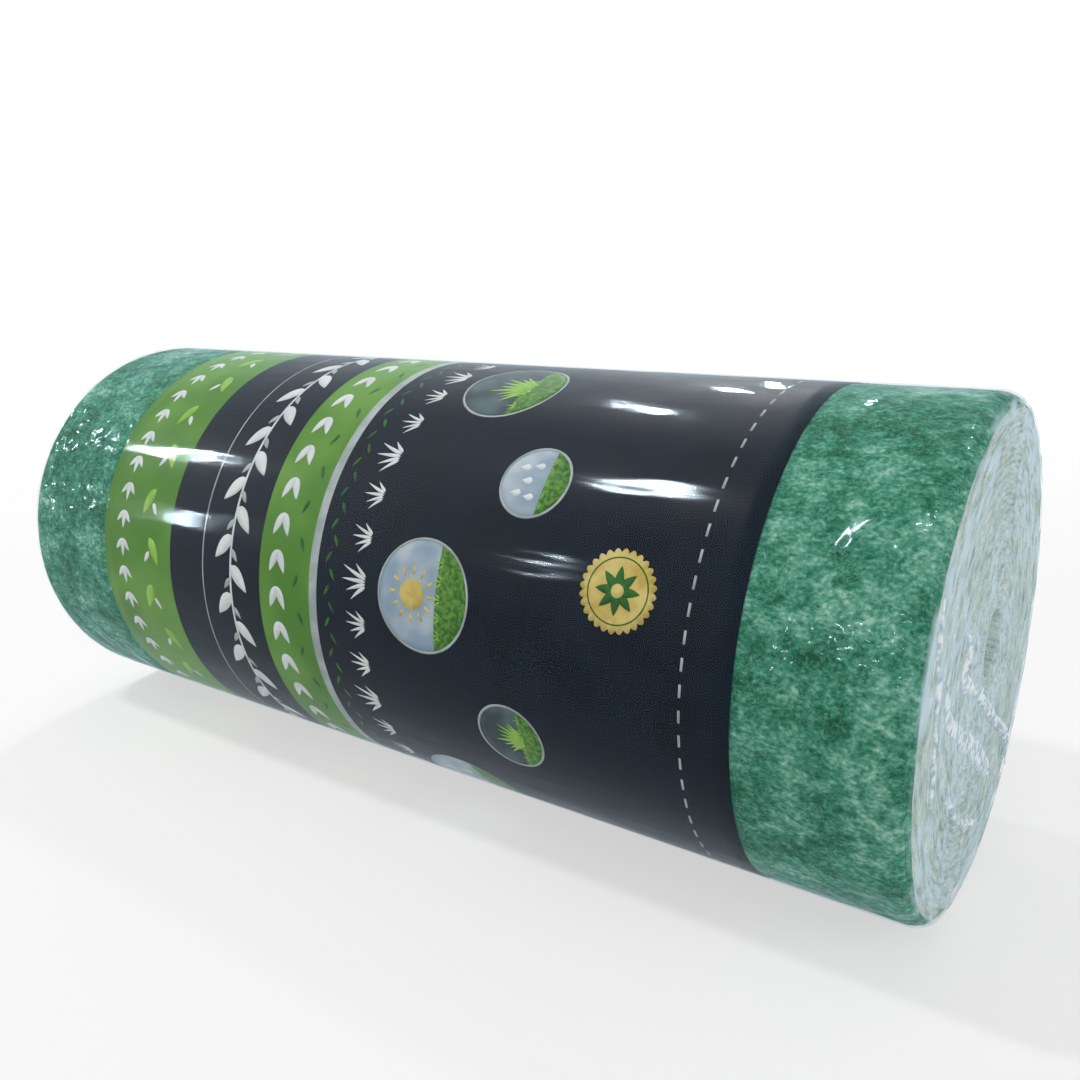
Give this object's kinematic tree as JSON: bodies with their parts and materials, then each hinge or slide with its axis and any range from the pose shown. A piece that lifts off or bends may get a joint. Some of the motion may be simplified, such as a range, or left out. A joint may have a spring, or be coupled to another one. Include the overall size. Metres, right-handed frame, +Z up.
{
  "type": "roll of grass seed mat",
  "caption": "Rolled seeded fibre mat lying on its side, with a printed label sleeve round the middle and clear shrink film closed over the whole roll and both ends.",
  "frame": {"origin": "on the floor under the middle of the roll, at the bottom centre of its box", "axes": "+X along the roll's axis, towards the end that the picture shows; +Z up; -Y is the front"},
  "size_m": [0.6108, 0.2578, 0.2577],
  "materials": {
    "seed_mat": "matt felted fibre, mottled green outside and pale grey-green at the ends",
    "label": "smooth printed sheet, navy-black with green bands",
    "film": "clear, glossy and slightly wrinkled"
  },
  "bodies": {
    "root": {"seed_mat_roll": "seed_mat", "printed_label": "label", "shrink_film": "film"}
  },
  "joints": []
}
